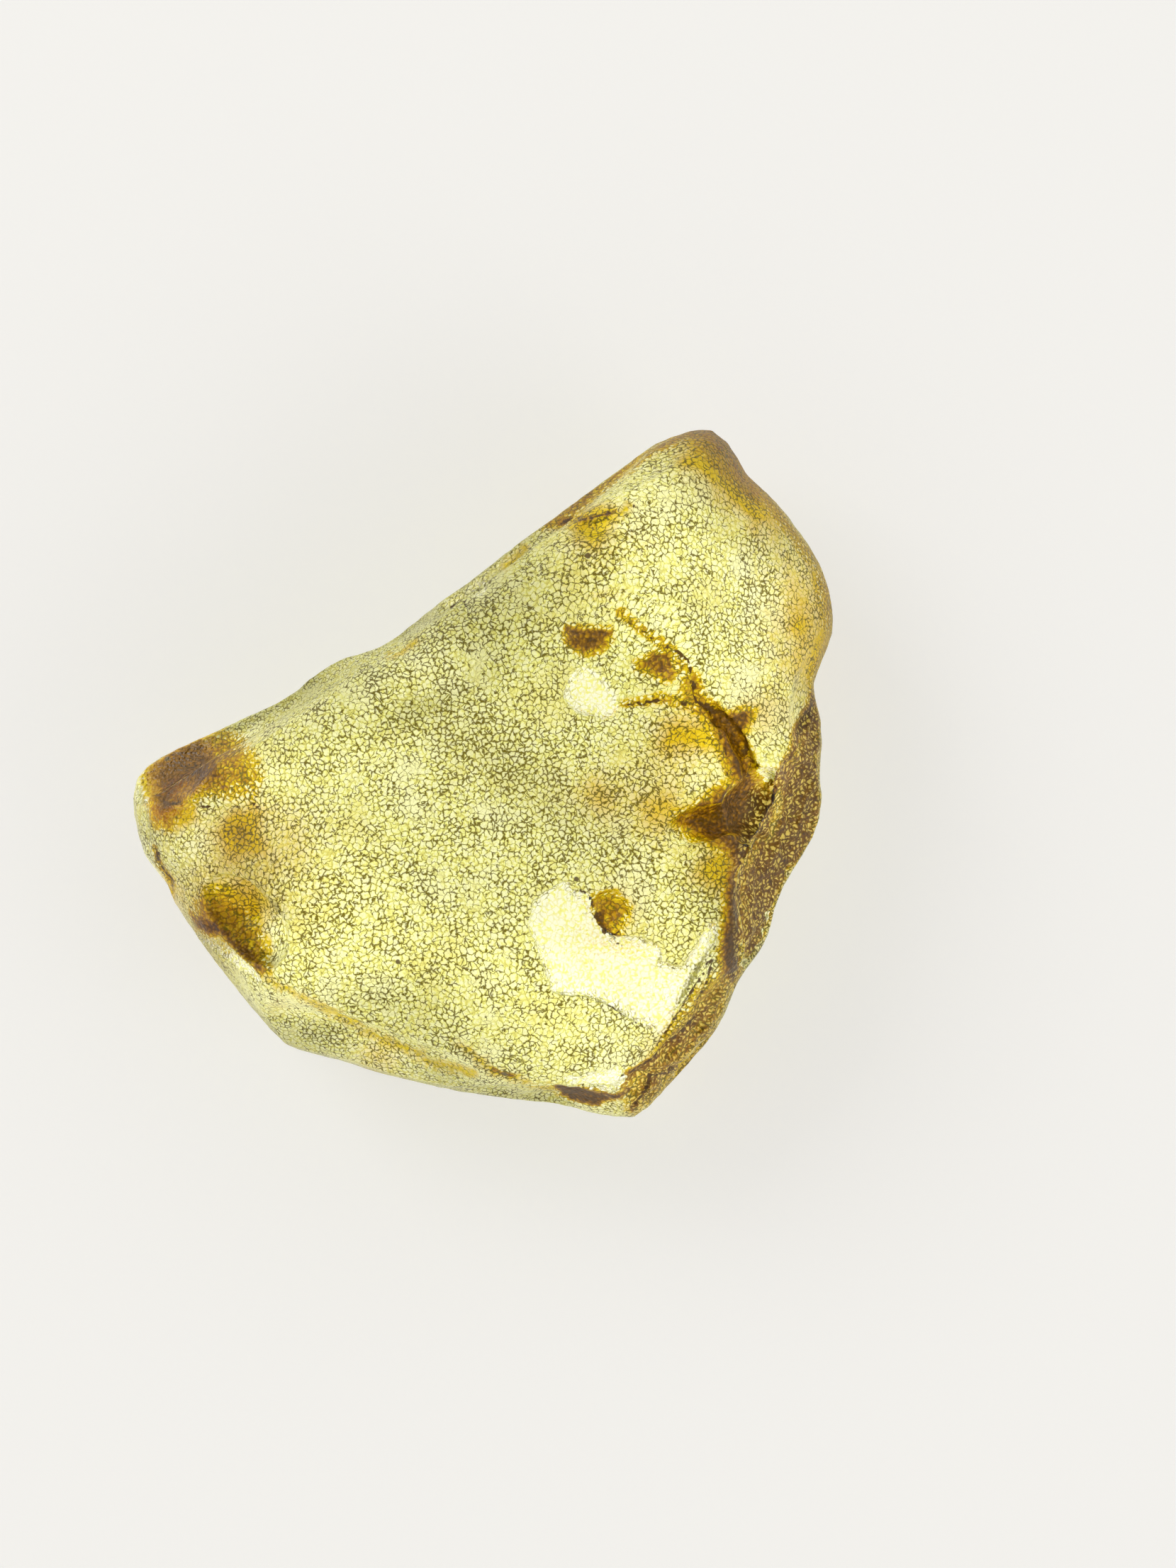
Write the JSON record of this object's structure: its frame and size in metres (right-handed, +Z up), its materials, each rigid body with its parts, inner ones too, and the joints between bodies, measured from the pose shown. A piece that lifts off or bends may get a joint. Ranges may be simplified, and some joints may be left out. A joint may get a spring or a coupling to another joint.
{
  "type": "raw copal",
  "caption": "Lump of clear golden tree resin: a thick chipped slab with a broad, finely crazed top, bevelled edges, flake scars and a flat broken underside.",
  "frame": {"origin": "under the middle of the lump, on the surface that it rests on", "axes": "+Z up out of the broad crazed face; +X along the lump's longest side, towards the stepped, chipped end; +Y towards its pointed tip"},
  "size_m": [0.0556, 0.0544, 0.0205],
  "materials": {
    "resin": "clear yellow tree resin with a finely crazed, satin weathered skin, and glossy where flakes have broken off"
  },
  "bodies": {
    "root": {"copal_lump": "resin"}
  },
  "joints": []
}
